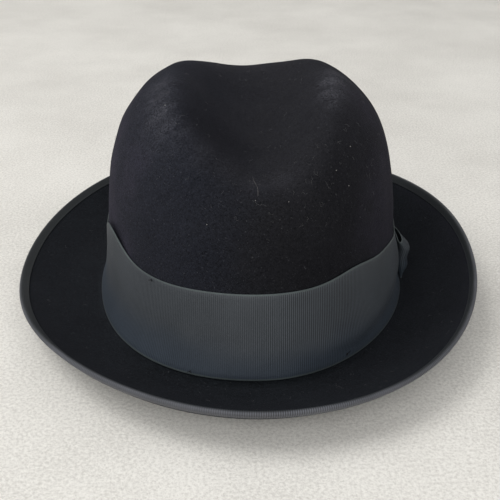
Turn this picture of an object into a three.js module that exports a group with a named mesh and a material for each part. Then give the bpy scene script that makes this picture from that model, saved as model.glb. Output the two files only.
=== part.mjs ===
// A homburg hat of black fur felt, resting on its own brim. The crown is tall, with one long
// dent pressed along its top. The brim is curled up all round. A ribbed ribbon runs round the
// crown, with a flat bow on the wearer's left, and a narrower ribbon is bound over the brim's edge.
// Millimetres. +Z is up, the front of the hat faces -Y and the bow is on the +X side.
import * as THREE from "three";

const { PI, asin, cos, exp, hypot, max, min, sin, sqrt } = Math;

// Felt: one shaped cap, crown and brim in one piece
const feltWall = 1.6;
const crownHalfLength = 106.3;
const crownHalfWidth = 82.1;
const crownHeight = 136.5;
const crownSideCurve = 4.01;
const crownTopCurve = 2.75;
const crownEndTaper = 0.11;
const crownSlope = -0.03;
const crownLean = -0.1;
const crownSetForward = 2.6;
const baseFlare = 10.4;
const flareHeight = 17.4;
const breakRadius = 3;
const sideLift = 0.4;
const restPress = 0.5;
const brimWidth = 52.5;

// The dent along the top of the crown
const dentDepth = 33.4;
const dentHalfWidth = 46.5;

// Ribbons
const seatGap = 0.3;
const bandWidth = 45.2;
const bandWall = 1;
const bandFoot = 3.2;
const bandLoose = 2.6;
const bindingWidth = 4.1;
const bindingWall = 1;

// The bow: two flattened loops held by a knot that wraps them
const bowCentre = 18;
const bowHalfLength = 36;
const bowHeight = 26;
const bowFoot = 5;
const bowPly = 1;
const bowTopOpening = 1.6;
const bowFullOpening = 5;
const bowFootOpening = 0.8;
const bowFullLevel = 0.28;
const knotWidth = 15;
const knotWall = 1;

// How finely each piece is divided
const turnSteps = 64;
const brimSteps = 9;
const breakSteps = 3;
const bandSteps = 4;
const topSteps = 14;
const bowSteps = 4;
const loopSteps = 22;

// Going round the hat: the flare of the crown's foot and the width of the brim, as shares of
// baseFlare and brimWidth, and the brim's slope in degrees where it starts and at its edge.
// The last four rows are added halfway between the front or back and the sides.
const sides = {
  right: { flare: 0.898, width: 0.971, startSlope: 3.5, edgeSlope: 85.5 },
  front: { flare: 0.447, width: 1.014, startSlope: 1.2, edgeSlope: 53.6 },
  left: { flare: 0.775, width: 0.88, startSlope: 3.5, edgeSlope: 31.4 },
  back: { flare: 0.414, width: 0.996, startSlope: 0, edgeSlope: 52.3 },
  frontRight: { flare: -0.194, width: 0.017, startSlope: 0.7, edgeSlope: -11.2 },
  frontLeft: { flare: 0.465, width: -0.061, startSlope: 0.7, edgeSlope: 14.3 },
  backLeft: { flare: 0, width: 0.014, startSlope: 0.4, edgeSlope: 1.9 },
  backRight: { flare: -0.209, width: -0.011, startSlope: 0.4, edgeSlope: -4.6 },
};

// Sections across the dent, front to back: place is a share of crownHalfLength, depth of
// dentDepth and width of dentHalfWidth.
const dentSections = [
  { place: -0.916, depth: 0, width: 0.67 },
  { place: -0.692, depth: 0.7, width: 0.82 },
  { place: -0.421, depth: 1, width: 0.96 },
  { place: 0, depth: 0.82, width: 1 },
  { place: 0.374, depth: 0.42, width: 0.89 },
  { place: 0.58, depth: 0.21, width: 0.78 },
  { place: 0.842, depth: 0, width: 0.67 },
];

// Where the ribbon round the crown wanders: turn and spread are degrees round the hat, rise is
// a share of bandWidth at its upper edge, and stand is a share of bandLoose, off the felt.
const bandWaves = [
  { turn: -54.1, spread: 11.7, rise: 0.086, stand: 0.35 },
  { turn: -132.9, spread: 21, rise: -0.056, stand: 0 },
  { turn: -157, spread: 9.9, rise: 0.215, stand: 1 },
  { turn: -176, spread: 10, rise: -0.14, stand: 0 },
  { turn: -14, spread: 12, rise: -0.14, stand: 0 },
];

const radians = (degrees) => (degrees * PI) / 180;

function smooth(share) {
  const s = min(1, max(0, share));
  return s * s * (3 - 2 * s);
}

// The value of one column of the sides table at an angle round the hat.
function around(turn, column) {
  const [atRight, atFront] = [cos(turn) > 0, sin(turn) < 0];
  const side = atRight ? sides.right : sides.left;
  const end = atFront ? sides.front : sides.back;
  const frontCorner = atRight ? sides.frontRight : sides.frontLeft;
  const backCorner = atRight ? sides.backRight : sides.backLeft;
  const corner = atFront ? frontCorner : backCorner;
  return (
    side[column] * cos(turn) ** 2 +
    end[column] * sin(turn) ** 2 +
    corner[column] * sin(2 * turn) ** 2
  );
}

// A smooth curve through one column of the dent sections that never overshoots them.
function alongDent(place, column) {
  const rows = dentSections;
  if (place <= rows[0].place) return rows[0][column];
  if (place >= rows.at(-1).place) return rows.at(-1)[column];
  const i = rows.findIndex((row) => row.place > place) - 1;
  const rate = (k) => (rows[k + 1][column] - rows[k][column]) / (rows[k + 1].place - rows[k].place);
  const slope = (k) => {
    if (k === 0 || k === rows.length - 1) return 0;
    const [before, after] = [rate(k - 1), rate(k)];
    return before * after > 0 ? (2 * before * after) / (before + after) : 0;
  };
  const span = rows[i + 1].place - rows[i].place;
  const u = (place - rows[i].place) / span;
  const blend = smooth(u);
  const pull = span * u * (1 - u) * (slope(i) * (1 - u) - slope(i + 1) * u);
  return rows[i][column] * (1 - blend) + rows[i + 1][column] * blend + pull;
}

function dentAt(x, y) {
  const place = y / crownHalfLength;
  const width = dentHalfWidth * alongDent(place, "width");
  const across = min(1, (x / width) ** 2);
  return dentDepth * alongDent(place, "depth") * (1 - across) ** 2;
}

// Height of the crease between crown and brim, on the upper side of the felt. At the front and
// back it would lie below the table by restPress, and the felt is pressed flat there instead.
const breakHeight = (turn) => feltWall - restPress + sideLift * cos(turn) ** 2;

// How far the crown's foot spreads beyond its oval, at a height above that crease.
const flareAt = (turn, height) => around(turn, "flare") * baseFlare * exp(-height / flareHeight);

// A point on the outside of the crown: climb is 0 at the crease and 1 at the top of the dome,
// and spread is an extra distance out from the oval.
function crownPoint(turn, climb, spread = 0) {
  const foot = breakHeight(turn);
  const height = (crownHeight - foot) * climb;
  const round = (1 - climb ** crownSideCurve) ** (1 / crownTopCurve);
  const taper = 1 - crownEndTaper * climb * sin(turn) ** 2;
  const out = flareAt(turn, height) + spread;
  const x = cos(turn) * (crownHalfWidth * round * taper + out) + crownLean * climb;
  const y = sin(turn) * (crownHalfLength * round * taper + out) - crownSetForward * climb;
  const z = foot + height + crownSlope * y * climb - dentAt(x, y);
  return new THREE.Vector3(x, y, max(feltWall, z));
}

// The top of the crown by the lean of its surface, from 0 upright to a quarter turn at the top.
const topPoint = (turn, lean) => crownPoint(turn, sin(lean) ** (2 / crownSideCurve));

// The hollow round that joins brim to crown: bend is 0 on the brim and a quarter turn on the crown.
function breakPoint(turn, bend) {
  const height = breakRadius * (1 - cos(bend));
  const climb = height / (crownHeight - breakHeight(turn));
  return crownPoint(turn, climb, breakRadius * (1 - sin(bend)));
}

// A point on the upper side of the brim: inward is 0 at the edge and 1 where the brim meets the
// crown. Its slope grows evenly from the start to the edge, so the curl is one long curve.
function brimPoint(turn, inward) {
  const start = breakPoint(turn, 0).setZ(breakHeight(turn));
  const length = (1 - inward) * (around(turn, "width") * brimWidth - breakRadius);
  const steps = 24;
  let out = 0;
  let up = 0;
  for (let i = 0; i < steps; i++) {
    const share = ((i + 0.5) / steps) * (1 - inward);
    const slope = around(turn, "startSlope") * (1 - share) + around(turn, "edgeSlope") * share;
    out += (cos(radians(slope)) * length) / steps;
    up += (sin(radians(slope)) * length) / steps;
  }
  const facing = hypot(crownHalfLength * cos(turn), crownHalfWidth * sin(turn));
  return new THREE.Vector3(
    start.x + (out * crownHalfLength * cos(turn)) / facing,
    start.y + (out * crownHalfWidth * sin(turn)) / facing,
    max(feltWall, start.z + up),
  );
}

// The direction that a surface faces, from two short steps across it.
function facingOf(surface, turn, place) {
  const step = 1e-4;
  const alongTurn = surface(turn + step, place).sub(surface(turn - step, place));
  const alongPlace = surface(turn, place + step).sub(surface(turn, place - step));
  return alongTurn.cross(alongPlace).normalize();
}

// A point at a distance off a surface, out of it if positive.
function offSurface(surface, turn, place, distance) {
  return surface(turn, place).addScaledVector(facingOf(surface, turn, place), distance);
}

const turns = Array.from({ length: turnSteps }, (_, i) => (2 * PI * i) / turnSteps);
const shares = (steps) => Array.from({ length: steps + 1 }, (_, i) => i / steps);

// One closed mesh from rings of points, each ring going round the hat or the loop. Each ring is
// joined to the next and a ring of one point is a pole. A closed list joins its last to its first.
function solidFrom(rings, closed) {
  const points = rings.flat();
  const starts = rings.map((_, i) => rings.slice(0, i).reduce((sum, ring) => sum + ring.length, 0));
  const faces = [];
  const pairs = closed ? rings.length : rings.length - 1;
  for (let r = 0; r < pairs; r++) {
    const next = (r + 1) % rings.length;
    const [here, there] = [rings[r].length, rings[next].length];
    const count = max(here, there);
    for (let i = 0; i < count; i++) {
      const j = (i + 1) % count;
      const a = starts[r] + (here > 1 ? i : 0);
      const b = starts[r] + (here > 1 ? j : 0);
      const c = starts[next] + (there > 1 ? j : 0);
      const d = starts[next] + (there > 1 ? i : 0);
      if (here > 1) faces.push(a, b, d);
      if (there > 1) faces.push(b, c, d);
    }
  }
  const geometry = new THREE.BufferGeometry().setFromPoints(points);
  geometry.setIndex(faces);
  geometry.computeVertexNormals();
  return geometry;
}

// The climb of a point on the crown a given height above the crease.
const climbAt = (turn, height) => height / (crownHeight - breakHeight(turn));

// Felt cap: its outside from the brim's edge to the top of the crown, and the same surface moved
// in by the wall, closed round the edge. Its underside is flat where it rests on the table.
function feltGeometry() {
  const bandTop = asin((climbAt(0, bandFoot + bandWidth)) ** (crownSideCurve / 2));
  const rows = [
    ...shares(brimSteps).slice(0, -1).map((share) => [brimPoint, share]),
    ...shares(breakSteps).map((share) => [breakPoint, (share * PI) / 2]),
    ...shares(bandSteps).slice(1).map((share) => [
      (turn, lift) => crownPoint(turn, climbAt(turn, lift)),
      max(breakRadius, bandFoot) + share * bandWidth,
    ]),
    ...shares(topSteps).slice(1, -1).map((share) => [
      topPoint,
      PI / 2 - (PI / 2 - bandTop) * (1 - share) ** 1.35,
    ]),
  ];
  const outside = rows.map(([surface, place]) => turns.map((turn) => surface(turn, place)));
  const inside = rows.map(([surface, place]) =>
    turns.map((turn) => {
      const point = offSurface(surface, turn, place, -feltWall);
      point.z = max(0, point.z);
      return point;
    }),
  );
  const top = crownPoint(0, 1);
  const under = top.clone().setZ(top.z - feltWall);
  return solidFrom([[under], ...inside.reverse(), ...outside, [top]], false);
}

// Ribbon folded over the brim's edge: it lies along both sides of the felt and turns round the
// edge in a half circle.
function bindingGeometry() {
  const inset = (turn) => bindingWidth / (around(turn, "width") * brimWidth - breakRadius);
  const mid = feltWall / 2;
  const hem = (turn, lift) => offSurface(brimPoint, turn, inset(turn), lift - mid);
  const nose = (turn, angle, reach) => {
    const edge = offSurface(brimPoint, turn, 0, -mid);
    const face = facingOf(brimPoint, turn, 0);
    const out = brimPoint(turn, 0).sub(brimPoint(turn, 1e-4)).normalize();
    return edge.addScaledVector(face, sin(angle) * reach).addScaledVector(out, cos(angle) * reach);
  };
  const section = (reach) => [
    (turn) => hem(turn, reach),
    ...shares(4).map((share) => (turn) => nose(turn, PI * (0.5 - share), reach)),
    (turn) => hem(turn, -reach),
  ];
  const inner = section(mid + seatGap);
  const outer = section(mid + seatGap + bindingWall);
  const rings = [...inner, ...outer.reverse()].map((point) => turns.map(point));
  return solidFrom(rings, true);
}

// How far the ribbon's upper edge wanders at an angle, for one column of the waves.
function wander(turn, column) {
  return bandWaves.reduce((sum, wave) => {
    const away = (turn - radians(wave.turn) + 3 * PI) % (2 * PI) - PI;
    return sum + wave[column] * exp(-((away / radians(wave.spread)) ** 2));
  }, 0);
}

// A point off the felt at a share of the ribbon's height, in the place where the ribbon runs.
function bandPoint(turn, share, distance) {
  const rise = 1 + wander(turn, "rise") * share ** 2;
  const height = bandFoot + bandWidth * share * rise;
  const loose = bandLoose * wander(turn, "stand") * share;
  return offSurface(crownPoint, turn, climbAt(turn, height), distance + loose);
}

// Ribbon round the crown, flat against the felt except where it stands a little off it.
function bandGeometry() {
  const inner = shares(bandSteps).map((share) => (turn) => bandPoint(turn, share, seatGap));
  const outer = shares(bandSteps).map((share) => (turn) =>
    bandPoint(turn, share, seatGap + bandWall),
  );
  const rings = [...outer, ...inner.reverse()].map((point) => turns.map(point));
  return solidFrom(rings, true);
}

// A point in the bow's own frame laid on the ribbon: along is the distance towards the back of
// the hat from the knot, lift the height above the crease and out the distance off the ribbon.
function bowPoint(along, lift, out) {
  const turn = asin((bowCentre + along) / crownHalfLength);
  return bandPoint(turn, (lift - bandFoot) / bandWidth, seatGap + bandWall + out);
}

// Thickness of the bow at a share of its length from the knot and a share of its height.
function bowThickness(share, level) {
  const filled = bowFootOpening + (bowFullOpening - bowFootOpening) * smooth(level / bowFullLevel);
  const closed = (bowFullOpening - bowTopOpening) * smooth((level - 0.72) / 0.28);
  const opening = filled - closed;
  return 2 * bowPly + opening * smooth((share - 0.2) / 0.6);
}

// Distance of the bow's lowest ply off the ribbon: over the knot's back ply, then down on the ribbon.
const bowSeat = (share) => seatGap + (knotWall + seatGap) * (1 - smooth((share - 0.22) / 0.3));

// One loop of the bow, towards the front (-1) or the back (1): a ribbon turned back on itself,
// pressed flat at the knot and open at its round end.
function loopGeometry(direction) {
  const start = seatGap / 2;
  const length = bowHalfLength - start;
  const roundEnd = 0.86;
  const openFrom = 0.3;
  const contour = (angle, level, inset) => {
    const from = inset ? openFrom : 0;
    const to = 1 - inset / length;
    const share = from + ((to - from) * (1 - cos(angle))) / 2;
    const thick = bowThickness(share, level);
    const past = max(0, (share - roundEnd * to) / (to - roundEnd * to));
    const half = max(0, thick / 2 - inset) * sqrt(max(0, 1 - past ** 2));
    const out = bowSeat(share) + thick / 2 + (angle > PI ? half : -half);
    return [direction * (start + length * share), out];
  };
  const levels = shares(bowSteps);
  const angles = Array.from({ length: loopSteps }, (_, i) => (2 * PI * (i + 0.5)) / loopSteps);
  const ring = (level, inset) =>
    angles.map((angle) => {
      const [along, out] = contour(angle, level, inset);
      return bowPoint(along, bowFoot + bowHeight * level, out);
    });
  const outer = levels.map((level) => ring(level, 0));
  const inner = levels.map((level) => ring(level, bowPly));
  const rings = [...outer, ...inner.reverse()];
  return solidFrom(direction > 0 ? rings.reverse() : rings, true);
}

// The knot: a short ribbon wrapped once round the middle of the bow, slightly crowned in front.
function knotGeometry() {
  const low = bowFoot - seatGap;
  const high = bowFoot + bowHeight + seatGap;
  const front = bowSeat(0) + 2 * bowPly + seatGap;
  const crowning = 0.8;
  const wrap = (inset) => {
    const bulge = (share) => crowning * 4 * share * (1 - share);
    const face = shares(bowSteps).map((share) => [
      low - inset + (high - low + 2 * inset) * share,
      front + inset + bulge(share),
    ]);
    const back = face.map(([lift]) => [lift, seatGap + knotWall - inset]);
    return [...face, ...back.reverse()];
  };
  const across = shares(bowSteps).map((share) => knotWidth * (share - 0.5));
  const ring = (along, inset) =>
    wrap(inset).map(([lift, out]) => bowPoint(along, lift, out));
  const outer = across.map((along) => ring(along, knotWall));
  const inner = across.map((along) => ring(along, 0));
  return solidFrom([...inner, ...outer.reverse()], true);
}

// Materials
const felt = new THREE.MeshStandardMaterial({ color: 0x17181d, roughness: 0.95, metalness: 0 });
const ribbon = new THREE.MeshStandardMaterial({ color: 0x2b2f36, roughness: 0.7, metalness: 0 });

// Assembly
const hat = new THREE.Group();

function add(name, geometry, material) {
  const mesh = new THREE.Mesh(geometry, material);
  mesh.name = name;
  hat.add(mesh);
}

add("felt_body", feltGeometry(), felt);
add("brim_binding", bindingGeometry(), ribbon);
add("hat_band", bandGeometry(), ribbon);
add("bow_front_loop", loopGeometry(-1), ribbon);
add("bow_back_loop", loopGeometry(1), ribbon);
add("bow_knot", knotGeometry(), ribbon);

// The part's origin is on the table, in the middle of the hat's length and width.
const box = new THREE.Box3().setFromObject(hat);
const middle = box.getCenter(new THREE.Vector3());
hat.position.set(-middle.x, -middle.y, 0);

export default hat;
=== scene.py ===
from math import cos, pi, radians, sin, tau

import bpy
import numpy as np
from mathutils import Matrix, Vector


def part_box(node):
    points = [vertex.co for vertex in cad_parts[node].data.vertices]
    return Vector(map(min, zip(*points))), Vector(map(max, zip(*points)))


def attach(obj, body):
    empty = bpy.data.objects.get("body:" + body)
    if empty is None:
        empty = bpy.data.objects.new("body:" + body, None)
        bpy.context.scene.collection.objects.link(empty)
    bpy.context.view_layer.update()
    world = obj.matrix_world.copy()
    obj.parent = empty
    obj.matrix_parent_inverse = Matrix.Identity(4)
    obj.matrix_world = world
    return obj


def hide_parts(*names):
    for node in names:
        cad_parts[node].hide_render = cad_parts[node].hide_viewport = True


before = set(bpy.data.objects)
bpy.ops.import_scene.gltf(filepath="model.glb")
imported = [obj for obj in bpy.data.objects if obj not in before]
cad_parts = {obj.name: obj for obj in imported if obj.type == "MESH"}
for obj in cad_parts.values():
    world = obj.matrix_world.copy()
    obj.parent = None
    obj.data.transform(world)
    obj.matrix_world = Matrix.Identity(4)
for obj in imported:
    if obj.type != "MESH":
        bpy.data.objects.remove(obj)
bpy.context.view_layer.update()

# The view: the hat on a table, seen from in front and above by someone who stands a little to
# the wearer's right. Focal length and picture side are pixels of the photograph, the rest metres
# and degrees, worked out from the outlines of the brim, the crown and the ribbon.
PICTURE_SIDE = 500
FOCAL_LENGTH = 823.3
PRINCIPAL_ACROSS = 244.74
view_azimuth, view_elevation, view_roll = radians(-3.52), radians(28.63), radians(0.18)
view_distance = 0.4992
view_target = Vector((0.00097, -0.00044, 0.0191))

view_back = Vector((
    sin(view_azimuth) * cos(view_elevation),
    -cos(view_azimuth) * cos(view_elevation),
    sin(view_elevation),
))
view_right = Vector((cos(view_azimuth), sin(view_azimuth), 0))
view_up = view_back.cross(view_right)
turned_right = view_right * cos(view_roll) + view_up * sin(view_roll)
turned_up = view_up * cos(view_roll) - view_right * sin(view_roll)

camera_data = bpy.data.cameras.new("camera")
camera_data.sensor_width = 36
camera_data.lens = FOCAL_LENGTH / PICTURE_SIDE * camera_data.sensor_width
camera_data.shift_x = (PICTURE_SIDE / 2 - PRINCIPAL_ACROSS) / PICTURE_SIDE
camera_data.clip_start = 0.01
camera_data.clip_end = 30
camera = bpy.data.objects.new("camera", camera_data)
camera.matrix_world = Matrix((
    (turned_right.x, turned_up.x, view_back.x, view_target.x + view_back.x * view_distance),
    (turned_right.y, turned_up.y, view_back.y, view_target.y + view_back.y * view_distance),
    (turned_right.z, turned_up.z, view_back.z, view_target.z + view_back.z * view_distance),
    (0, 0, 0, 1),
))
bpy.context.scene.collection.objects.link(camera)
bpy.context.scene.camera = camera
bpy.context.scene.view_settings.view_transform = "Standard"

# The felt: one cap of black fur felt, blocked wet over a form. The crown is an oval dome with a
# long dent pressed along its top, and the brim is ironed into an even curl up to its edge.
FELT_WALL = 0.0016
CROWN_HALF_LENGTH = 0.1063
CROWN_HALF_WIDTH = 0.0821
CROWN_HEIGHT = 0.1365
CROWN_SIDE_CURVE = 4.01
CROWN_TOP_CURVE = 2.75
CROWN_END_TAPER = 0.11
CROWN_SLOPE = -0.03
CROWN_LEAN = -0.0001
CROWN_SET_FORWARD = 0.0026
BASE_FLARE = 0.0104
FLARE_HEIGHT = 0.0174
BREAK_RADIUS = 0.003
SIDE_LIFT = 0.0004
REST_PRESS = 0.0005
BRIM_WIDTH = 0.0525
DENT_DEPTH = 0.0334
DENT_HALF_WIDTH = 0.0465
FELT_TURNS = 320

# Going round the hat: the flare of the crown's foot and the width of the brim as shares, and the
# brim's slope in degrees where it starts and at its edge. The last four are added at the corners.
sides = {
    "right": {"flare": 0.898, "width": 0.971, "start": 3.5, "edge": 85.5},
    "front": {"flare": 0.447, "width": 1.014, "start": 1.2, "edge": 53.6},
    "left": {"flare": 0.775, "width": 0.88, "start": 3.5, "edge": 31.4},
    "back": {"flare": 0.414, "width": 0.996, "start": 0, "edge": 52.3},
    "front_right": {"flare": -0.194, "width": 0.017, "start": 0.7, "edge": -11.2},
    "front_left": {"flare": 0.465, "width": -0.061, "start": 0.7, "edge": 14.3},
    "back_left": {"flare": 0, "width": 0.014, "start": 0.4, "edge": 1.9},
    "back_right": {"flare": -0.209, "width": -0.011, "start": 0.4, "edge": -4.6},
}

# Sections across the dent from front to back, as shares of the crown's half length, the dent's
# depth and its half width.
dent_sections = {
    "place": np.array([-0.916, -0.692, -0.421, 0, 0.374, 0.58, 0.842]),
    "depth": np.array([0, 0.7, 1, 0.82, 0.42, 0.21, 0]),
    "width": np.array([0.67, 0.82, 0.96, 1, 0.89, 0.78, 0.67]),
}


def smooth(share):
    """3 s squared minus 2 s cubed, with s held between 0 and 1."""
    s = np.clip(share, 0, 1)
    return s * s * (3 - 2 * s)


def around(turn, column):
    """Side value times cos squared, end value times sin squared and corner value times the square
    of sin(2 turn), added up."""
    row = {name: values[column] for name, values in sides.items()}
    at_right, at_front = np.cos(turn) > 0, np.sin(turn) < 0
    side = np.where(at_right, row["right"], row["left"])
    end = np.where(at_front, row["front"], row["back"])
    front_corner = np.where(at_right, row["front_right"], row["front_left"])
    back_corner = np.where(at_right, row["back_right"], row["back_left"])
    corner = np.where(at_front, front_corner, back_corner)
    return side * np.cos(turn) ** 2 + end * np.sin(turn) ** 2 + corner * np.sin(2 * turn) ** 2


def along_dent(place, column):
    """A cubic through the sections. Its slope at each is the harmonic mean of the rates on its two
    sides."""
    x, y = dent_sections["place"], dent_sections[column]
    rate = np.diff(y) / np.diff(x)
    slope = np.zeros(len(x))
    before, after = rate[:-1], rate[1:]
    rising = before * after > 0
    slope[1:-1][rising] = (2 * before * after)[rising] / (before + after)[rising]
    i = np.clip(np.searchsorted(x, place, side="right") - 1, 0, len(x) - 2)
    span = x[i + 1] - x[i]
    u = np.clip((place - x[i]) / span, 0, 1)
    pull = span * u * (1 - u) * (slope[i] * (1 - u) - slope[i + 1] * u)
    return y[i] * (1 - smooth(u)) + y[i + 1] * smooth(u) + pull


def dent_at(x, y):
    """Depth times (1 - (x / width) squared) squared, both taken from the sections at y."""
    place = y / CROWN_HALF_LENGTH
    across = np.minimum(1, (x / (DENT_HALF_WIDTH * along_dent(place, "width"))) ** 2)
    return DENT_DEPTH * along_dent(place, "depth") * (1 - across) ** 2


def break_height(turn):
    """Height of the crease between crown and brim on the upper side: lowest in front and behind."""
    return FELT_WALL - REST_PRESS + SIDE_LIFT * np.cos(turn) ** 2


def crown_point(turn, climb, spread=0):
    """An oval whose radius shrinks with climb as (1 - climb ** m) ** (1 / n), flared at its foot by
    exp(-height / flare height), less the dent. Climb is 0 at the crease and 1 at the dome's top."""
    foot = break_height(turn)
    height = (CROWN_HEIGHT - foot) * climb
    shrink = (1 - np.clip(climb, 0, 1) ** CROWN_SIDE_CURVE) ** (1 / CROWN_TOP_CURVE)
    shrink = shrink * (1 - CROWN_END_TAPER * climb * np.sin(turn) ** 2)
    out = around(turn, "flare") * BASE_FLARE * np.exp(-height / FLARE_HEIGHT) + spread
    x = np.cos(turn) * (CROWN_HALF_WIDTH * shrink + out) + CROWN_LEAN * climb
    y = np.sin(turn) * (CROWN_HALF_LENGTH * shrink + out) - CROWN_SET_FORWARD * climb
    z = foot + height + CROWN_SLOPE * y * climb - dent_at(x, y)
    return np.stack(np.broadcast_arrays(x, y, np.maximum(FELT_WALL, z)), -1)


def top_point(turn, lean):
    """The crown with its climb taken as sin(lean) ** (2 / m), which spreads the rows evenly."""
    return crown_point(turn, np.sin(lean) ** (2 / CROWN_SIDE_CURVE))


def break_point(turn, bend):
    """A quarter circle that joins the brim, at bend 0, to the crown, at a quarter turn."""
    height = BREAK_RADIUS * (1 - np.cos(bend))
    climb = height / (CROWN_HEIGHT - break_height(turn))
    return crown_point(turn, climb, BREAK_RADIUS * (1 - np.sin(bend)))


def brim_point(turn, inward):
    """The brim as the integral of (cos, sin) of a slope that grows evenly from the crease to the
    edge, carried out along the oval's normal. Inward is 0 at the edge and 1 at the crease."""
    turn, inward = np.broadcast_arrays(turn, inward)
    start = break_point(turn, 0 * turn)
    length = (1 - inward) * (around(turn, "width") * BRIM_WIDTH - BREAK_RADIUS)
    steps = 24
    share = (np.arange(steps) + 0.5) / steps * (1 - inward[..., None])
    first, last = around(turn, "start")[..., None], around(turn, "edge")[..., None]
    slope = np.radians(first * (1 - share) + last * share)
    out = np.cos(slope).mean(-1) * length
    up = np.sin(slope).mean(-1) * length
    facing = np.hypot(CROWN_HALF_LENGTH * np.cos(turn), CROWN_HALF_WIDTH * np.sin(turn))
    return np.stack([
        start[..., 0] + out * CROWN_HALF_LENGTH * np.cos(turn) / facing,
        start[..., 1] + out * CROWN_HALF_WIDTH * np.sin(turn) / facing,
        np.maximum(FELT_WALL, break_height(turn) + up),
    ], -1)


def unit(vectors):
    """Each vector divided by its length."""
    return vectors / np.linalg.norm(vectors, axis=-1, keepdims=True)


def facing_of(surface, turn, place):
    """Cross product of two short steps across a surface, made one long."""
    step = 1e-4
    along_turn = surface(turn + step, place) - surface(turn - step, place)
    along_place = surface(turn, place + step) - surface(turn, place - step)
    return unit(np.cross(along_turn, along_place))


def off_surface(surface, turn, place, distance):
    """Surface point plus distance times the direction that it faces."""
    distance = np.asarray(distance)[..., None]
    return surface(turn, place) + distance * facing_of(surface, turn, place)


# The origin of the part is under the middle of the bound brim, so the shapes, which are worked
# out from the crown's own axis, are moved by the offset that makes the edges meet.
edge_turns = np.linspace(0, tau, 721)[:-1]
felt_edge = brim_point(edge_turns, 0 * edge_turns)
binding_low, binding_high = (np.array(corner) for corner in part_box("brim_binding"))
crown_axis = (binding_low + binding_high) / 2 - (felt_edge.min(0) + felt_edge.max(0)) / 2
crown_axis[2] = 0


def link_mesh(name, points, faces):
    """A smoothly shaded object made of points and faces, linked to the scene."""
    mesh = bpy.data.meshes.new(name)
    mesh.from_pydata(points.tolist(), [], faces)
    mesh.shade_smooth()
    mesh.update()
    piece = bpy.data.objects.new(name, mesh)
    bpy.context.scene.collection.objects.link(piece)
    return piece


def mesh_piece(name, rows, along=None, across=None, closed=True, poles=()):
    """A mesh from rows of points that close on themselves. Row r is joined to row r + 1, and the
    last to the first if closed. A pole is a point that closes the first or last row. Along, for
    each column and one more, and across, for each row, are the UV map called weave, in metres."""
    count, turns = rows.shape[:2]
    points = np.concatenate([rows.reshape(-1, 3), np.reshape(poles, (-1, 3))]) + crown_axis
    r = np.arange(count if closed else count - 1)[:, None]
    c = np.arange(turns)[None, :]
    near, far, beside = r * turns, (r + 1) % count * turns, (c + 1) % turns
    quads = np.stack(np.broadcast_arrays(near + c, near + beside, far + beside, far + c), -1)
    faces = quads.reshape(-1, 4).tolist()
    if len(poles):
        ring = np.arange(turns)
        beside = (ring + 1) % turns
        first, last = count * turns, count * turns + 1
        faces += np.stack([beside, ring, ring * 0 + first], -1).tolist()
        top = (count - 1) * turns
        faces += np.stack([top + ring, top + beside, ring * 0 + last], -1).tolist()
    piece = link_mesh(name, points, faces)
    if along is not None:
        weave = np.stack(np.broadcast_arrays(along, across), -1)
        far_row = (r + 1) % count
        corners = [(r, c), (r, c + 1), (far_row, c + 1), (far_row, c)]
        uv = np.stack([weave[i, j] for i, j in corners], 2)
        layer = piece.data.uv_layers.new(name="weave")
        layer.data.foreach_set("uv", uv.astype(np.float32).ravel())
    return piece


class Value:
    """A socket that can stand in a formula: each operator adds the Math node that works it out."""

    def __init__(self, tree, socket):
        self.tree = tree
        self.socket = socket

    def math(self, operation, other=None, swap=False):
        node = self.tree.nodes.new("ShaderNodeMath")
        node.operation = operation
        values = [self, other] if other is not None else [self]
        for slot, value in enumerate(values[::-1] if swap else values):
            if isinstance(value, Value):
                self.tree.links.new(value.socket, node.inputs[slot])
            else:
                node.inputs[slot].default_value = value
        return Value(self.tree, node.outputs[0])

    def __add__(self, other):
        return self.math("ADD", other)

    def __sub__(self, other):
        return self.math("SUBTRACT", other)

    def __rsub__(self, other):
        return self.math("SUBTRACT", other, swap=True)

    def __mul__(self, other):
        return self.math("MULTIPLY", other)

    def __truediv__(self, other):
        return self.math("DIVIDE", other)

    __radd__ = __add__
    __rmul__ = __mul__


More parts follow.
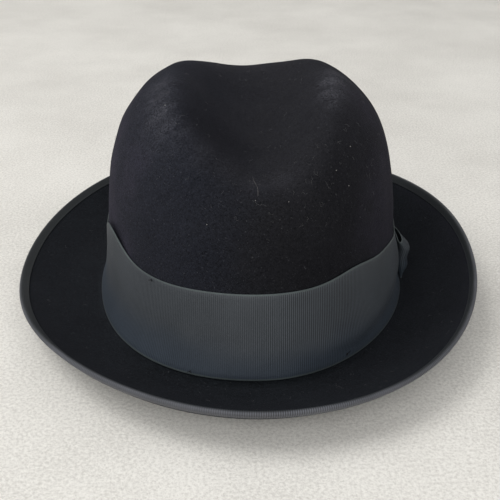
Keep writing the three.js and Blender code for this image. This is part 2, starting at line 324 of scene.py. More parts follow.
class Finish:
    """A material and its nodes."""

    def __init__(self, name):
        self.material = bpy.data.materials.new(name)
        self.material.use_nodes = True
        self.tree = self.material.node_tree
        self.shader = self.tree.nodes["Principled BSDF"]

    def node(self, kind, settings=None, inputs=None, output=0):
        """Adds a node, sets it up, then fills its sockets with values or links."""
        node = self.tree.nodes.new(kind)
        for name, value in (settings or {}).items():
            setattr(node, name, value)
        for name, value in (inputs or {}).items():
            self.fill(node.inputs[name], value)
        return Value(self.tree, node.outputs[output])

    def fill(self, socket, value):
        if isinstance(value, Value):
            self.tree.links.new(value.socket, socket)
        else:
            socket.default_value = value

    def surface(self, **inputs):
        """Fills sockets of the shader: base_color stands for Base Color and so on."""
        for name, value in inputs.items():
            title = name.replace("_", " ").title().replace("Ior", "IOR")
            self.fill(self.shader.inputs[title], value)

    def place(self):
        return self.node("ShaderNodeTexCoord", output=3)

    def position(self, axis):
        """One axis of the place in the object's own space, in metres."""
        return self.node("ShaderNodeSeparateXYZ", inputs={0: self.place()}, output=axis)

    def weave(self, axis):
        """One axis of the weave map: 0 is along the ribbon and 1 across it, in metres."""
        uv = self.node("ShaderNodeUVMap", {"uv_map": "weave"})
        return self.node("ShaderNodeSeparateXYZ", inputs={0: uv}, output=axis)

    def noise(self, scale, detail=2, roughness=0.5, distortion=0):
        inputs = {"Scale": scale, "Detail": detail, "Roughness": roughness}
        inputs.update(Distortion=distortion, Vector=self.place())
        return self.node("ShaderNodeTexNoise", inputs=inputs)

    def ramp(self, value, low, high):
        """0 at low, 1 at high and smooth between."""
        return self.node(
            "ShaderNodeMapRange",
            {"interpolation_type": "SMOOTHSTEP"},
            {0: value, 1: low, 2: high},
        )

    def mix(self, share, first, second, blend="MIX"):
        """Second colour over the first by a share."""
        settings = {"data_type": "RGBA", "blend_type": blend}
        return self.node("ShaderNodeMix", settings, {0: share, 6: first, 7: second}, output=2)

    def grey(self, tone):
        """A colour with the same number in red, green and blue."""
        return self.node("ShaderNodeCombineColor", inputs={0: tone, 1: tone, 2: tone})

    def bump(self, height, distance, strength):
        inputs = {"Height": height, "Distance": distance, "Strength": strength}
        return self.node("ShaderNodeBump", inputs=inputs)


# The felt has softened with wear: shallow hollows and swellings on the crown, above the ribbon.
SOFT_DENT_HEIGHT = 0.00008
SOFT_DENT_SHORTEST = 0.018
SOFT_DENT_LONGEST = 0.050
SOFT_DENT_WAVES = 10
SOFT_DENT_FROM = 0.058
SOFT_DENT_FADE = 0.012
dent_draw = np.random.default_rng(11)
wave_directions = unit(dent_draw.normal(size=(SOFT_DENT_WAVES, 3)))
wave_lengths = dent_draw.uniform(SOFT_DENT_SHORTEST, SOFT_DENT_LONGEST, SOFT_DENT_WAVES)
wave_starts = dent_draw.uniform(0, tau, SOFT_DENT_WAVES)


def soft_dents(points):
    """Sum of sine waves along fixed directions, faded out down to the ribbon's upper edge."""
    phase = points @ (wave_directions / wave_lengths[:, None]).T * tau + wave_starts
    fade = smooth((points[..., 2] - SOFT_DENT_FROM) / SOFT_DENT_FADE)
    return SOFT_DENT_HEIGHT * np.sin(phase).sum(-1) * fade


# Rows of the felt: the brim from its edge inwards, the round of the crease, then the crown.
BRIM_ROWS = 37
BREAK_ROWS = 7
CROWN_ROWS = 93
felt_turns = np.arange(FELT_TURNS)[None, :] * tau / FELT_TURNS
break_lean = np.arcsin((BREAK_RADIUS / CROWN_HEIGHT) ** (CROWN_SIDE_CURVE / 2))
left_to_climb = 1 - np.linspace(0, 1, CROWN_ROWS)[1:-1, None]
felt_parts = [
    (brim_point, np.linspace(0, 1, BRIM_ROWS)[:-1, None]),
    (break_point, np.linspace(0, pi / 2, BREAK_ROWS)[:, None]),
    (top_point, pi / 2 - (pi / 2 - break_lean) * left_to_climb ** (CROWN_TOP_CURVE / 2)),
]


def felt_rows(distance):
    """The felt's three stretches, each moved along its facing by the distance and soft dents."""
    rows = []
    for surface, place in felt_parts:
        points = surface(felt_turns, place)
        away = distance + soft_dents(points)
        rows.append(points + away[..., None] * facing_of(surface, felt_turns, place))
    return np.concatenate(rows)


outside = felt_rows(0)
inside = felt_rows(-FELT_WALL)
inside[..., 2] = np.maximum(0, inside[..., 2])
felt = mesh_piece(
    "felt",
    np.concatenate([inside[::-1], outside]),
    closed=False,
    poles=[inside[-1].mean(0), outside[-1].mean(0)],
)

# Fur felt: near black, in places navy or plum, matt, with a short matted nap. The crown is a
# little paler than the brim, and hands have worn the crests of the dent.
FELT_NAVY = (0.0082, 0.0091, 0.0126, 1)
FELT_BLACK = (0.0084, 0.0085, 0.0098, 1)
FELT_PLUM = (0.0165, 0.0148, 0.0225, 1)
FELT_BRIM = (0.0062, 0.0076, 0.0090, 1)
FELT_WEAR_AND_HIGHLIGHT = (0.100, 0.100, 0.116, 1)
FELT_FLECK = (0.048, 0.048, 0.052, 1)
felt_finish = Finish("fur_felt")
nap = felt_finish.noise(1500, 4, 0.75, 1.2)
clumps = felt_finish.noise(520, 3, 0.6, 1.0)
mottle = felt_finish.noise(36, 3, 0.55)
beside = felt_finish.position(0)
height = felt_finish.position(2)
wear_and_highlight = felt_finish.node("ShaderNodeAttribute", {"attribute_name": "wear_and_highlight"}, output=2)
# lie is painted light and shade, worked out further down from the way the felt faces.
lie = felt_finish.node("ShaderNodeAttribute", {"attribute_name": "lie"}, output=2)
tone = (nap * 5.6 + clumps * 1.2 + mottle * 0.8 - 2.75).math("MAXIMUM", 0.3) * lie
grey = felt_finish.grey(tone)
faded = (mottle - 0.5) * 0.05
to_the_left = felt_finish.ramp(beside + faded, -0.035, 0.015)
felt_colour = felt_finish.mix(to_the_left, FELT_NAVY, FELT_BLACK)
to_the_sides = felt_finish.ramp(beside.math("ABSOLUTE") + faded, 0.050, 0.080)
felt_colour = felt_finish.mix(to_the_sides, felt_colour, FELT_PLUM)
above_the_brim = felt_finish.ramp(height, 0.015, 0.055)
felt_colour = felt_finish.mix(above_the_brim, FELT_BRIM, felt_colour)
felt_colour = felt_finish.mix(1, felt_colour, grey, "MULTIPLY")
# Paler where the crests are worn, and on the lip of the dent, where the paleness is a painted
# highlight.
wear_and_highlight_share = wear_and_highlight * felt_finish.ramp(nap * 0.7 + clumps * 0.3, 0.38, 0.70)
felt_colour = felt_finish.mix(wear_and_highlight_share, felt_colour, FELT_WEAR_AND_HIGHLIGHT)
fleck_share = felt_finish.ramp(felt_finish.noise(1150, 2, 0.6), 0.64, 0.76)
felt_colour = felt_finish.mix(fleck_share * 0.9, felt_colour, FELT_FLECK)
felt_finish.surface(
    base_color=felt_colour,
    roughness=0.95 - mottle * 0.08,
    specular_ior_level=0.06,
    sheen_weight=0.035,
    sheen_roughness=0.6,
    sheen_tint=(0.62, 0.62, 0.78, 1),
    normal=felt_finish.bump(nap * 0.6 + clumps * 0.4, 0.0007, 0.8),
)
felt.data.materials.append(felt_finish.material)

# Worn places and a painted highlight as x, y from the crown's axis, radius and strength: real wear
# on the two crests of the dent and, more faintly, a painted highlight on the lip round its front.
wear_and_highlight_places = np.array([
    (-0.0487, -0.0150, 0.0085, 0.60),
    (-0.0489, -0.0290, 0.0080, 0.60),
    (-0.0482, -0.0420, 0.0075, 0.75),
    (-0.0455, -0.0530, 0.0070, 0.50),
    (-0.0385, -0.0610, 0.0080, 0.24),
    (-0.0290, -0.0680, 0.0080, 0.20),
    (-0.0170, -0.0735, 0.0080, 0.18),
    (-0.0040, -0.0770, 0.0080, 0.18),
    (0.0090, -0.0770, 0.0080, 0.13),
    (0.0450, -0.0080, 0.0070, 0.75),
    (0.0420, -0.0200, 0.0075, 1.00),
    (0.0395, -0.0330, 0.0065, 0.85),
    (0.0385, -0.0430, 0.0050, 0.35),
])
WEAR_AND_HIGHLIGHT_ABOVE = 0.08


def read_vertices(piece, name):
    """One vector for each vertex, by the name of what it holds."""
    values = np.empty(len(piece.data.vertices) * 3, np.float32)
    piece.data.vertices.foreach_get(name, values)
    return values.reshape(-1, 3)


def keep_amounts(piece, name, amounts):
    """One number for each vertex, kept as an attribute that a material reads."""
    attribute = piece.data.attributes.new(name, "FLOAT", "POINT")
    attribute.data.foreach_set("value", amounts.astype(np.float32))


points = read_vertices(felt, "co") - crown_axis
gap = points[:, None, :2] - wear_and_highlight_places[None, :, :2]
near = np.exp(-(gap ** 2).sum(-1) / wear_and_highlight_places[:, 2] ** 2) * wear_and_highlight_places[:, 3]
keep_amounts(felt, "wear_and_highlight", near.max(1) * (points[:, 2] > WEAR_AND_HIGHLIGHT_ABOVE))

# Painted light and shade, kept as the attribute lie: the felt is painted paler where it faces up
# and towards the wearer's right, and darker where it faces away, with painted shade most of all in
# the deep of the dent.
PAINTED_LIGHT_TOWARDS = np.array((-0.70, -0.22, 0.65))
PAINTED_LIGHT_TONE = 0.62
PAINTED_LIGHT_ABOVE = 0.03
PAINTED_SHADE_MIDDLE = (-0.022, -0.050)
PAINTED_SHADE_RADIUS = 0.016
PAINTED_SHADE_STRENGTH = 0.34
painted_light_facing = read_vertices(felt, "normal") @ PAINTED_LIGHT_TOWARDS
painted_light_and_shade = PAINTED_LIGHT_TONE + PAINTED_LIGHT_TONE * np.clip(painted_light_facing, -0.1, 1)
painted_light_and_shade = np.where(points[:, 2] > PAINTED_LIGHT_ABOVE, painted_light_and_shade, 1)
painted_shade_gap = np.linalg.norm(points[:, :2] - PAINTED_SHADE_MIDDLE, axis=1)
painted_light_and_shade = painted_light_and_shade * (1 - PAINTED_SHADE_STRENGTH * np.exp(-((painted_shade_gap / PAINTED_SHADE_RADIUS) ** 2)))
keep_amounts(felt, "lie", painted_light_and_shade)
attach(felt, "root")
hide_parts("felt_body")

# The binding: a narrow ribbed ribbon folded over the brim's edge and sewn through, so that it
# lies along both sides of the felt and turns round the edge in a half circle.
BINDING_WIDTH = 0.0039
BINDING_WALL = 0.00045
BINDING_SEAT = 0.0001
RIB_PITCH = 0.00105
RIB_DEPTH = 0.00008
RIB_STEPS = 4
SELVEDGE = 0.0007
fold_reach = FELT_WALL / 2 + BINDING_SEAT + BINDING_WALL / 2
binding_nose = pi * fold_reach
binding_length = 2 * BINDING_WIDTH + binding_nose
flat_share = BINDING_WIDTH / binding_length


def even_turns(path, steps, samples=2881):
    """Turns at which a closed path has steps columns in each rib, and the distance along it there.
    The path is measured finely and read backwards, distance to turn."""
    fine = np.linspace(0, tau, samples)
    points = path(fine)
    reach = np.concatenate([[0], np.cumsum(np.linalg.norm(np.diff(points, axis=0), axis=1))])
    count = round(reach[-1] / RIB_PITCH)
    distance = np.linspace(0, reach[-1], count * steps + 1)
    return np.interp(distance, reach, fine), distance / reach[-1] * count * RIB_PITCH


def ribs(distance):
    """Half a rib's depth times the cosine of the distance over the pitch."""
    return RIB_DEPTH / 2 * np.cos(tau * distance / RIB_PITCH)


def ribbon_section(width, wall, face, back):
    """The outline of a flat ribbon's cut: (v across it, off its middle, how much it is ribbed).
    Face and back are shares of the width, and half circles of half the wall join them."""
    half = wall / 2
    round_off = np.linspace(pi / 2, -pi / 2, 4)[1:-1]
    v = np.concatenate([
        half + face * (width - wall), width - half + np.cos(round_off) * half,
        half + back[::-1] * (width - wall), half - np.cos(round_off) * half,
    ])
    off = np.concatenate([
        face * 0 + half, np.sin(round_off) * half, back * 0 - half, -np.sin(round_off) * half,
    ])
    ribbed = np.clip(np.minimum(v, width - v) / SELVEDGE, 0, 1) ** 2 * (off > half * 0.99)
    return v[:, None], off[:, None], ribbed[:, None]


def binding_path(turn, distance, off):
    """Distance runs from the hem on the upper side, round the edge and back to the hem below.
    On the flats the point is off the felt's middle, and on the half circle it turns about it."""
    past = distance - BINDING_WIDTH
    angle = pi / 2 - np.clip(past, 0, binding_nose) / fold_reach
    back_in = np.where(past < 0, -past, np.maximum(0, past - binding_nose))
    place = back_in / (around(turn, "width") * BRIM_WIDTH - BREAK_RADIUS)
    edge = off_surface(brim_point, turn, place, -FELT_WALL / 2)
    face = facing_of(brim_point, turn, place)
    out = unit(brim_point(turn, place) - brim_point(turn, place + 1e-4))
    lift = (np.sin(angle) * (fold_reach + off))[..., None]
    push = (np.cos(angle) * (fold_reach + off))[..., None]
    return edge + face * lift + out * push


def folded(flat_steps, nose_steps):
    """Shares of the binding's width with a few steps on its two flats and more round its fold."""
    return np.concatenate([
        np.linspace(0, flat_share, flat_steps + 1)[:-1],
        np.linspace(flat_share, 1 - flat_share, nose_steps + 1),
        np.linspace(1 - flat_share, 1, flat_steps + 1)[1:],
    ])


binding_turns, binding_along = even_turns(
    lambda turn: binding_path(turn, 0 * turn + binding_length / 2, 0 * turn), RIB_STEPS
)
across, off, ribbed = ribbon_section(binding_length, BINDING_WALL, folded(3, 6), folded(2, 4))
binding_rows = binding_path(
    binding_turns[None, :-1], across, off + ribbed * ribs(binding_along[None, :-1])
)
binding = mesh_piece("edge_binding", binding_rows, binding_along, across)

# Ribbed ribbon: a cotton and rayon weave with round cross ribs, with painted shade in the grooves
# between them, fine threads along it and a smooth tight selvedge at each side that carries a
# painted highlight. On the band its colour is painted paler at the top, as painted light, and
# bluish at the foot, as a painted reflection.
RIBBON_PAINTED_LIGHT_TOP = (0.0435, 0.0490, 0.0555, 1)
RIBBON_PAINTED_REFLECTION_FOOT = (0.0330, 0.0435, 0.0585, 1)
RIBBON_SELVEDGE_HIGHLIGHT = (0.088, 0.108, 0.108, 1)
THREAD_PITCH = 0.00024
SELVEDGE_AND_HIGHLIGHT_FROM = 0.0011
SELVEDGE_AND_HIGHLIGHT_TO = 0.0006


def ribbon_finish(name, light, dark, width, low=0.05, high=0.5, edge=RIBBON_SELVEDGE_HIGHLIGHT):
    """Colour from dark to light between two shares of the width, times the ribs and threads. The
    change from dark to light is painted light and shade, and the edge colour a painted highlight.
    """
    finish = Finish(name)
    along, across = finish.weave(0), finish.weave(1)
    rib = 0.5 + 0.5 * (along * (tau / RIB_PITCH)).math("COSINE")
    thread = 0.5 + 0.5 * (across * (tau / THREAD_PITCH)).math("COSINE")
    cloudy = finish.noise(34, 2, 0.5)
    pressed = finish.ramp(finish.noise(13, 1, 0.5), 0.35, 0.65)
    slub = finish.noise(800, 3, 0.65)
    off_middle = (across / width - 0.5).math("ABSOLUTE")
    selvedge_and_highlight = finish.ramp(off_middle, 0.5 - SELVEDGE_AND_HIGHLIGHT_FROM / width, 0.5 - SELVEDGE_AND_HIGHLIGHT_TO / width)
    # level goes from the dark colour to the light one across the ribbon: painted light and shade,
    # and on the band a bluish painted reflection at its foot.
    level = finish.ramp(across / width + (cloudy - 0.5) * (high - low) * 0.8, low, high)
    # The edge colour along each selvedge is a painted highlight; the selvedge itself is smooth,
    # without ribs.
    colour = finish.mix(selvedge_and_highlight * 0.8, finish.mix(level, dark, light), edge)
    # The ribs' tone is painted shade in their grooves, its strength varied by broad pressed
    # patches.
    painted_groove_shade = rib * (0.30 + pressed * 0.80) - pressed * 0.40
    tone = 0.45 + painted_groove_shade * (1 - selvedge_and_highlight) + thread * 0.08 + slub * 0.35 + (cloudy - 0.5) * 0.5
    grey = finish.grey(tone)
    height = rib * 0.4 * (1 - selvedge_and_highlight) + thread * 0.25 + slub * 0.35
    finish.surface(
        base_color=finish.mix(1, colour, grey, "MULTIPLY"),
        roughness=0.62 - cloudy * 0.1,
        specular_ior_level=0.3,
        sheen_weight=0.03,
        sheen_roughness=0.5,
        sheen_tint=(0.7, 0.76, 0.85, 1),
        normal=finish.bump(height, 0.00015, 0.6),
    )
    return finish.material


# The binding's two colours are painted light and shade: painted shade on its upper side to a little
# past the start of the fold, then painted light round the edge and along its under side.
BINDING_PAINTED_SHADE = (0.0150, 0.0178, 0.0200, 1)
BINDING_PAINTED_LIGHT = (0.072, 0.074, 0.084, 1)
BINDING_HEM_HIGHLIGHT = (0.046, 0.051, 0.053, 1)
PAINTED_SHADE_PAST_FLAT = 0.05
PAINTED_SHADE_FADE = 0.12
painted_light_start = flat_share + PAINTED_SHADE_PAST_FLAT
binding.data.materials.append(ribbon_finish(
    "binding_ribbon", BINDING_PAINTED_LIGHT, BINDING_PAINTED_SHADE, binding_length,
    painted_light_start, painted_light_start + PAINTED_SHADE_FADE, BINDING_HEM_HIGHLIGHT,
))
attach(binding, "root")
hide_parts("brim_binding")

# The band: a wide ribbed ribbon drawn round the foot of the crown and tacked to the felt. It has
# slackened with age, so its upper edge wanders and stands off the felt in places.
BAND_WIDTH = 0.0452
BAND_WALL = 0.0006
BAND_SEAT = 0.00025
BAND_FOOT = 0.0032
BAND_LOOSE = 0.0026
CREASE_DEPTH = 0.0023
CREASE_LOW = 0.26
CREASE_HIGH = 0.46
CREASE_UPPER_SIDE = 0.26
CREASE_LOWER_SIDE = 0.11

# Turn and spread in degrees, the rise of the upper edge as a share of the width, and how far the
# edge stands off as a share of the looseness.
band_waves = [
    {"turn": -54.1, "spread": 11.7, "rise": 0.086, "stand": 0.35},
    {"turn": -132.9, "spread": 21, "rise": -0.056, "stand": 0},
    {"turn": -157, "spread": 9.9, "rise": 0.215, "stand": 1},
    {"turn": -176, "spread": 10, "rise": -0.14, "stand": 0},
    {"turn": -14, "spread": 12, "rise": -0.14, "stand": 0},
]


def wander(turn, column):
    """Sum over the waves of the value times exp(-(angle from the wave / spread) squared)."""
    total = 0 * turn
    for wave in band_waves:
        away = (turn - radians(wave["turn"]) + pi) % tau - pi
        total = total + wave[column] * np.exp(-((away / radians(wave["spread"])) ** 2))
    return total


def crown_at_height(turn, height):
    """The crown by the height above its crease, in metres."""
    return crown_point(turn, height / (CROWN_HEIGHT - break_height(turn)))


def band_crease(turn, share):
    """A ridge that runs down and forwards over the ribbon in front of the bow: a bell with a wide
    upper and a narrow lower side, so that the ribbon tucks in below it."""
    degrees = np.degrees((turn + pi) % tau - pi)
    centre = CREASE_LOW + (CREASE_HIGH - CREASE_LOW) * smooth((degrees + 58) / 45)
    window = smooth((degrees + 80) / 30) * smooth((8 - degrees) / 16)
    side = np.where(share > centre, CREASE_UPPER_SIDE, CREASE_LOWER_SIDE)
    return CREASE_DEPTH * window * np.exp(-(((share - centre) / side) ** 2))


def band_point(turn, share, distance):
    """A point off the felt at a share of the ribbon's height, and further off where it is slack."""
    height = BAND_FOOT + BAND_WIDTH * share * (1 + wander(turn, "rise") * share ** 2)
    loose = BAND_LOOSE * wander(turn, "stand") * share + band_crease(turn, share)
    return off_surface(crown_at_height, turn, height, distance + loose)


band_turns, band_along = even_turns(
    lambda turn: band_point(turn, 0 * turn + 0.5, 0 * turn), RIB_STEPS + 1
)
face, back = np.linspace(0, 1, 17), np.linspace(0, 1, 8)
across, off, ribbed = ribbon_section(BAND_WIDTH, BAND_WALL, face, back)
band_rows = band_point(
    band_turns[None, :-1],
    across / BAND_WIDTH,
    BAND_SEAT + BAND_WALL / 2 + off + ribbed * ribs(band_along[None, :-1]),
)
band = mesh_piece("crown_band", band_rows[::-1], band_along, across[::-1])
band_material = ribbon_finish("band_ribbon", RIBBON_PAINTED_LIGHT_TOP, RIBBON_PAINTED_REFLECTION_FOOT, BAND_WIDTH)
band.data.materials.append(band_material)
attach(band, "root")
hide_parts("hat_band")

# The bow: a short length of the same ribbon folded into two flat loops, one towards the front
# and one towards the back, and a third piece wrapped round their middle as the knot.
BOW_CENTRE = 0.018
BOW_HALF_LENGTH = 0.036
BOW_HEIGHT = 0.026
BOW_FOOT = 0.005
BOW_WALL = 0.0006
BOW_TOP_OPENING = 0.0020
BOW_FULL_OPENING = 0.0056
BOW_FOOT_OPENING = 0.0008
BOW_FULL_LEVEL = 0.28
BOW_CLOSING_LEVEL = 0.72
BOW_ROUND_END = 0.86
BOW_START = 0.0002
BOW_SEAT = 0.0005
KNOT_WIDTH = 0.015
KNOT_WALL = 0.0006


def bow_point(along, lift, out):
    """Along is the distance towards the back from the knot, lift the height above the crease and
    out the distance off the band's face."""
    turn = np.arcsin((BOW_CENTRE + along) / CROWN_HALF_LENGTH)
    return band_point(turn, (lift - BAND_FOOT) / BAND_WIDTH, BAND_SEAT + BAND_WALL + out)


def bow_thickness(share, level):
    """Two plies and an opening that grows towards the round end. It is widest a little under the
    middle of the loop's height, and closes towards the foot and somewhat towards the top."""
    widens = smooth(level / BOW_FULL_LEVEL)
    closes = smooth((level - BOW_CLOSING_LEVEL) / (1 - BOW_CLOSING_LEVEL))
    opening = BOW_FOOT_OPENING + (BOW_FULL_OPENING - BOW_FOOT_OPENING) * widens
    opening = opening - (BOW_FULL_OPENING - BOW_TOP_OPENING) * closes
    return 2 * BOW_WALL + opening * smooth((share - 0.2) / 0.6)


def bow_seat(share):
    """Off the band: over the knot's back ply near the middle, then down on the ribbon."""
    return BOW_SEAT + (KNOT_WALL + BOW_SEAT) * (1 - smooth((share - 0.22) / 0.3))


def loop_path(angle, level):
    """The middle of a loop's ribbon as (share along, out): a flat oval whose end is round."""
    share = (1 - np.cos(angle)) / 2
    past = np.maximum(0, (share - BOW_ROUND_END) / (1 - BOW_ROUND_END))
    thick = bow_thickness(share, level)
    half = (thick - BOW_WALL) / 2 * np.sqrt(np.maximum(0, 1 - past ** 2))
    return share, bow_seat(share) + thick / 2 + np.where(angle > pi, half, -half)


def loop_rows(direction):
    """The ribbon's cut carried round the loop: off moves it along the path's own normal."""
    length = BOW_HALF_LENGTH - BOW_START

    def middle(angle):
        share, out = loop_path(angle, 0.5)
        return np.stack([share * length, out], -1)

    angle, along = even_turns(middle, RIB_STEPS + 1, 2001)
    angle = angle[None, :-1]
    face = np.linspace(0, 1, 25)
    across, off, ribbed = ribbon_section(BOW_HEIGHT, BOW_WALL, face, face)
    level = across / BOW_HEIGHT
    share, out = loop_path(angle, level)
    ahead, behind = loop_path(angle + 1e-3, level), loop_path(angle - 1e-3, level)
    run, rise = (ahead[0] - behind[0]) * length, ahead[1] - behind[1]
    size = np.hypot(run, rise) + 1e-12
    thick = off + ribbed * ribs(along[None, :-1])
    flat = BOW_START + length * share + thick * rise / size
    height = out - thick * run / size
    return bow_point(direction * flat, BOW_FOOT + BOW_HEIGHT * level, height), along, across


# The bow and knot are coloured as a darker copy of the band's ribbon, as painted shade, and bluish
# towards the bow's foot, as a painted reflection.
BOW_PAINTED_SHADE_TOP = (0.040, 0.047, 0.054, 1)
BOW_PAINTED_SHADE_FOOT = (0.024, 0.033, 0.043, 1)
bow_painted_shade_material = ribbon_finish("bow_ribbon_painted_shade", BOW_PAINTED_SHADE_TOP, BOW_PAINTED_SHADE_FOOT, BOW_HEIGHT, 0.2, 0.8)
for name, direction, node in [
    ("bow_loop_front", -1, "bow_front_loop"),
    ("bow_loop_back", 1, "bow_back_loop"),
]:
    rows, along, across = loop_rows(direction)
    if direction > 0:
        rows, across = rows[::-1], across[::-1]
    loop = mesh_piece(name, rows, along, across)
    loop.data.materials.append(bow_painted_shade_material)
    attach(loop, "root")
    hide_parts(node)

# The knot: a ribbon wrapped once round the middle of the bow, a little crowned in front, with
# its ribs lying level.
KNOT_PAST_BOW = 0.0008
KNOT_OFF_BOW = 0.0006
KNOT_OFF_BAND = 0.0006
KNOT_ROUNDNESS = 0.25
KNOT_CROWNING = 0.0009
KNOT_PINCH = 0.07
knot_low = BOW_FOOT - KNOT_PAST_BOW
knot_high = BOW_FOOT + BOW_HEIGHT + KNOT_PAST_BOW
knot_front = bow_seat(0) + 2 * BOW_WALL + KNOT_OFF_BOW


def knot_path(angle):
    """A flat oval round the bow: lift and out as a superellipse, with its front face crowned."""
    c, s = np.cos(angle), np.sin(angle)
    lift = np.sign(c) * np.abs(c) ** KNOT_ROUNDNESS
    out = np.sign(s) * np.abs(s) ** KNOT_ROUNDNESS
    half_out = (knot_front - KNOT_OFF_BAND) / 2
    crowned = KNOT_CROWNING * (1 - lift ** 2) * (s > 0)
    lift = (knot_low + knot_high) / 2 + lift * (knot_high - knot_low) / 2
    return lift, KNOT_OFF_BAND + half_out * (1 + out) + crowned


fine = np.linspace(0, tau, 4001)
lift, out = knot_path(fine)
reach = np.concatenate([[0], np.cumsum(np.hypot(np.diff(lift), np.diff(out)))])
count = round(reach[-1] / RIB_PITCH)
knot_distance = np.linspace(0, reach[-1], count * (RIB_STEPS + 1) + 1)
knot_lift = np.interp(knot_distance, reach, lift)
knot_out = np.interp(knot_distance, reach, out)
knot_along = knot_distance / reach[-1] * count * RIB_PITCH
run, rise = np.gradient(knot_lift), np.gradient(knot_out)
size = np.hypot(run, rise) + 1e-12
face, back = np.linspace(0, 1, 19), np.linspace(0, 1, 7)
across, off, ribbed = ribbon_section(KNOT_WIDTH, KNOT_WALL, face, back)
thick = off + ribbed * ribs(knot_along[None, :-1])
pinch = 1 - KNOT_PINCH * np.cos(tau * knot_along[None, :-1] / knot_along[-1]) ** 2
knot_rows = bow_point(
    (across - KNOT_WIDTH / 2) * pinch,
    knot_lift[None, :-1] + thick * (rise / size)[None, :-1],
    knot_out[None, :-1] - thick * (run / size)[None, :-1],
)
knot = mesh_piece("bow_knot_wrap", knot_rows, knot_along, across)
knot.data.materials.append(bow_painted_shade_material)
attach(knot, "root")
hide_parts("bow_knot")

# The tacks: black thread, knotted by hand, that holds the ribbon to the felt in three places
# near its edges. Each is a few short stitches over each other and two cut ends. Its distance off
# the crown's axis, roughly, makes angles of lengths.
THREAD_TAPER = 0.67
TACK_THREAD = 0.00013
TACK_OFF_AXIS = 0.1
TACK_STITCHES = 4
TACK_ARCH = 0.00035
TACK_END_STEP = 0.0007
tack_places = [(-132, 0.955), (-114.5, 0.035), (-59, 0.065)]


def threads(name, paths, radius, sides=4):
    """A polygon carried along each path, in the two directions square to it. Its radius falls to
    a third at the ends, which are closed."""
    count, steps = paths.shape[:2]
    along = unit(np.gradient(paths, axis=1))
    first = unit(np.cross(along, (0.31, 0.22, 0.93)))
    second = np.cross(along, first)
    angle = np.arange(sides) * tau / sides
    end = np.abs(np.linspace(-1, 1, steps))
    size = radius * (1 - THREAD_TAPER * end ** 6)[None, :, None, None]
    turned = (
        first[:, :, None] * np.cos(angle)[:, None] + second[:, :, None] * np.sin(angle)[:, None]
    )
    points = paths[:, :, None] + turned * size
    n = np.arange(count)[:, None, None] * steps * sides
    i = np.arange(steps - 1)[None, :, None] * sides
    j = np.arange(sides)[None, None, :]
    beside = (j + 1) % sides
    quads = np.stack([n + i + j, n + i + beside, n + i + sides + beside, n + i + sides + j], -1)
    starts = (n + beside[..., ::-1])[:, 0]
    ends = (n + (steps - 1) * sides + j)[:, 0]
    faces = quads.reshape(-1, 4).tolist() + starts.tolist() + ends.tolist()
    return link_mesh(name, points.reshape(-1, 3) + crown_axis, faces)


tack_draw = np.random.default_rng(5)
step = np.linspace(-1, 1, 9)
tack_paths = []
for degrees, share in tack_places:
    for stitch in range(TACK_STITCHES):
        lean = tack_draw.uniform(-1, 1)
        reach = tack_draw.uniform(0.0006, 0.0010)
        aside = (tack_draw.uniform(-0.3, 0.3) + lean * step) * reach
        turn = radians(degrees) + aside / TACK_OFF_AXIS
        up = share + (tack_draw.uniform(-0.2, 0.2) + (1 - abs(lean)) * step) * reach / BAND_WIDTH
        arch = TACK_ARCH * (1 - step ** 2) - 0.0001
        tack_paths.append(band_point(turn, up, BAND_SEAT + BAND_WALL + arch + 0.0001 * stitch))
    for side in (-1, 1):
        turn = radians(degrees) + side * (step + 1) * TACK_END_STEP / TACK_OFF_AXIS
        up = share + (step + 1) * tack_draw.uniform(-0.0008, 0.0008) / BAND_WIDTH
        lift = 0.0003 + 0.0005 * (1 + step)
        tack_paths.append(band_point(turn, up, BAND_SEAT + BAND_WALL + lift))
tacks = threads("band_tacks", np.array(tack_paths), TACK_THREAD)
tack_finish = Finish("black_thread")
twist = tack_finish.noise(4200, 2, 0.5)
tack_finish.surface(
    base_color=tack_finish.mix(twist, (0.004, 0.004, 0.005, 1), (0.016, 0.016, 0.018, 1)),
    roughness=0.8,
    specular_ior_level=0.2,
    normal=tack_finish.bump(twist, 0.0001, 0.5),
)
tacks.data.materials.append(tack_finish.material)
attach(tacks, "root")

# Lint: loose curled fibres of fur and a few specks that cling to the nap all over the hat, and
# one long pale hair in front of the dent.
LINT_RADIUS = 0.000034
LINT_STEPS = 15
HAIR_RADIUS = 0.000045
SPECK_RADIUS = 0.00022
SPECK_OFF_AXIS = 0.09
lint_draw = np.random.default_rng(23)

# Where it lies: how many fibres, the turns between which they lie, and the leans on the crown or
# the shares of the brim, both in degrees where they are angles.
lint_patches = [
    {"count": 130, "on": "crown", "turns": (-180, 180), "places": (24, 80)},
    {"count": 34, "on": "crown", "turns": (-74, -36), "places": (17, 47)},
    {"count": 26, "on": "crown", "turns": (-112, -70), "places": (18, 52)},
    {"count": 70, "on": "brim", "turns": (-180, 180), "places": (0.18, 0.85)},
    {"count": 12, "on": "brim", "turns": (-120, -60), "places": (0.25, 0.9)},
]


def curls(surface, turn, place, length, bend, swing):
    """A path that starts at a point and runs over the tangent plane with a heading that turns by
    bend from end to end and swings to and fro, held a little off the surface."""
    step = 1e-4
    east = unit(surface(turn + step, place) - surface(turn - step, place))
    facing = facing_of(surface, turn, place)
    north = np.cross(facing, east)
    s = np.linspace(0, 1, LINT_STEPS)
    heading = lint_draw.uniform(0, tau, len(turn))[:, None] + bend[:, None] * s
    heading = heading + swing[:, None] * np.sin(s * tau * 1.3)
    run = np.cumsum(np.cos(heading), 1) * length[:, None] / LINT_STEPS
    rise = np.cumsum(np.sin(heading), 1) * length[:, None] / LINT_STEPS
    lift = 0.00008 + 0.0003 * np.sin(s * pi)[None, :] * lint_draw.uniform(0, 1, len(turn))[:, None]
    return (
        surface(turn, place)[:, None]
        + east[:, None] * run[..., None]
        + north[:, None] * rise[..., None]
        + facing[:, None] * lift[..., None]
    )


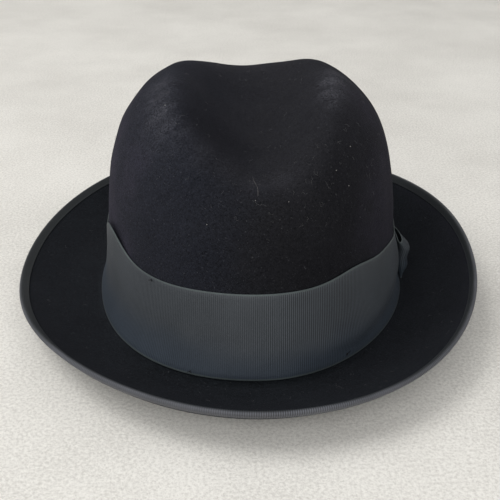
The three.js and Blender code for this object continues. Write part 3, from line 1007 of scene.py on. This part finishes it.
lint_paths = []
for patch in lint_patches:
    count, crown = patch["count"], patch["on"] == "crown"
    turn = np.radians(lint_draw.uniform(*patch["turns"], count))
    place = lint_draw.uniform(*patch["places"], count)
    length = lint_draw.uniform(0.0012, 0.0052, count)
    bend = lint_draw.normal(0, 1.9, count)
    swing = lint_draw.uniform(0, 1.6, count)
    surface = top_point if crown else brim_point
    place = np.radians(place) if crown else place
    lint_paths.append(curls(surface, turn, place, length, bend, swing))
lint = threads("felt_lint", np.concatenate(lint_paths), LINT_RADIUS, 3)

# The hair lies over the lip of the dent and down the front of the crown.
s = np.linspace(0, 1, 24)
hair_turn = np.radians(-94 + 2 * s + 0.8 * np.sin(s * pi))
hair_lean = np.radians(50.5 - 19 * s)
hair_path = off_surface(top_point, hair_turn, hair_lean, 0.0002 + 0.0004 * np.sin(s * pi))
hair = threads("pale_hair", hair_path[None], HAIR_RADIUS, 3)

# Specks of dust: turn and lean in degrees and length, each a tiny pellet of matted fibre. Its
# distance off the crown's axis, roughly, makes angles of lengths.
speck_places = [
    (-47, 38.7, 0.0011), (-53.5, 27.3, 0.0007), (-93, 29.6, 0.0007),
    (-147.5, 54.2, 0.0008), (-80, 28.3, 0.0006), (-111, 20.5, 0.0005),
    (-58, 33, 0.0006), (100, 40, 0.0007), (35, 44, 0.0008),
]
pellet = np.linspace(-1, 1, 5)
speck_paths = []
for degrees, lean, length in speck_places:
    lie = lint_draw.uniform(-1, 1)
    turn = radians(degrees) + pellet * length / 2 * lie / SPECK_OFF_AXIS
    place = radians(lean) + pellet * length / 2 * (1 - abs(lie)) / SPECK_OFF_AXIS
    speck_paths.append(off_surface(top_point, turn, place, 0.0002 + 0 * pellet))
specks = threads("dust_specks", np.array(speck_paths), SPECK_RADIUS, 5)
for piece, light, dark in [
    (lint, (0.16, 0.155, 0.15, 1), (0.05, 0.05, 0.058, 1)),
    (hair, (0.27, 0.26, 0.25, 1), (0.15, 0.145, 0.14, 1)),
    (specks, (0.30, 0.29, 0.28, 1), (0.18, 0.175, 0.17, 1)),
]:
    lint_finish = Finish(piece.name + "_fibre")
    lint_finish.surface(
        base_color=lint_finish.mix(lint_finish.noise(160, 2, 0.5), dark, light),
        roughness=0.7,
        specular_ior_level=0.3,
    )
    piece.data.materials.append(lint_finish.material)
    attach(piece, "root")

# The floor: a plain pale sheet that sweeps up behind the hat, with soft studio light from above
# and the left, and a broad fill from the front.
FLOOR_WHITE = (0.80, 0.778, 0.725, 1)
FLOOR_GREY = (0.57, 0.548, 0.505, 1)
WALL_GREY = (0.53, 0.52, 0.50, 1)
FLOOR_FRONT = -3.0
FLOOR_HALF_WIDTH = 4.0
FLOOR_DROP = 0.0001
SWEEP_START = 1.4
SWEEP_RADIUS = 1.0
WALL_TOP = 4.0
sweep_run = np.linspace(SWEEP_START - 0.2, SWEEP_START + SWEEP_RADIUS, 40)
floor_run = np.concatenate([[FLOOR_FRONT], sweep_run, sweep_run[-1:]])
sweep_angle = np.clip((floor_run - SWEEP_START) / SWEEP_RADIUS, 0, 1) * pi / 2
floor_y = np.minimum(floor_run, SWEEP_START) + np.sin(sweep_angle) * SWEEP_RADIUS
floor_z = (1 - np.cos(sweep_angle)) * SWEEP_RADIUS
floor_z[-1] = WALL_TOP
floor_points = np.stack(np.broadcast_arrays(
    np.array([[-FLOOR_HALF_WIDTH, FLOOR_HALF_WIDTH]]),
    floor_y[:, None],
    floor_z[:, None] - FLOOR_DROP,
), -1)
floor_faces = [(2 * i, 2 * i + 1, 2 * i + 3, 2 * i + 2) for i in range(len(floor_run) - 1)]
floor = link_mesh("floor", floor_points.reshape(-1, 3), floor_faces)
floor_finish = Finish("floor_paper")
grain = floor_finish.noise(620, 4, 0.75)
stain = floor_finish.noise(9, 3, 0.6)
floor_back = floor_finish.position(1)
floor_spots = floor_finish.ramp(grain * 0.75 + stain * 0.25, 0.36, 0.66)
floor_colour = floor_finish.mix(floor_spots, FLOOR_WHITE, FLOOR_GREY)
floor_colour = floor_finish.mix(floor_finish.ramp(floor_back, 0.9, 1.9), floor_colour, WALL_GREY)
floor_finish.surface(
    base_color=floor_colour,
    roughness=0.9,
    specular_ior_level=0.2,
    normal=floor_finish.bump(grain, 0.0005, 0.4),
)
floor.data.materials.append(floor_finish.material)


def softbox(name, place, aim, size, power):
    """A square area light at a place, turned towards a point."""
    light = bpy.data.lights.new(name, "AREA")
    light.size = size
    light.energy = power
    lamp = bpy.data.objects.new(name, light)
    lamp.location = place
    lamp.rotation_euler = (Vector(aim) - Vector(place)).to_track_quat("-Z", "Y").to_euler()
    bpy.context.scene.collection.objects.link(lamp)


softbox("window_light", (-1.25, -0.05, 2.2), (0, 0, 0.05), 1.4, 27)
softbox("front_fill", (-0.5, -2.5, 1.30), (0, 0, 0.05), 2.4, 52)
world = bpy.data.worlds.new("studio")
world.use_nodes = True
background = world.node_tree.nodes["Background"]
background.inputs["Color"].default_value = (0.97, 0.98, 1, 1)
background.inputs["Strength"].default_value = 0.58
bpy.context.scene.world = world
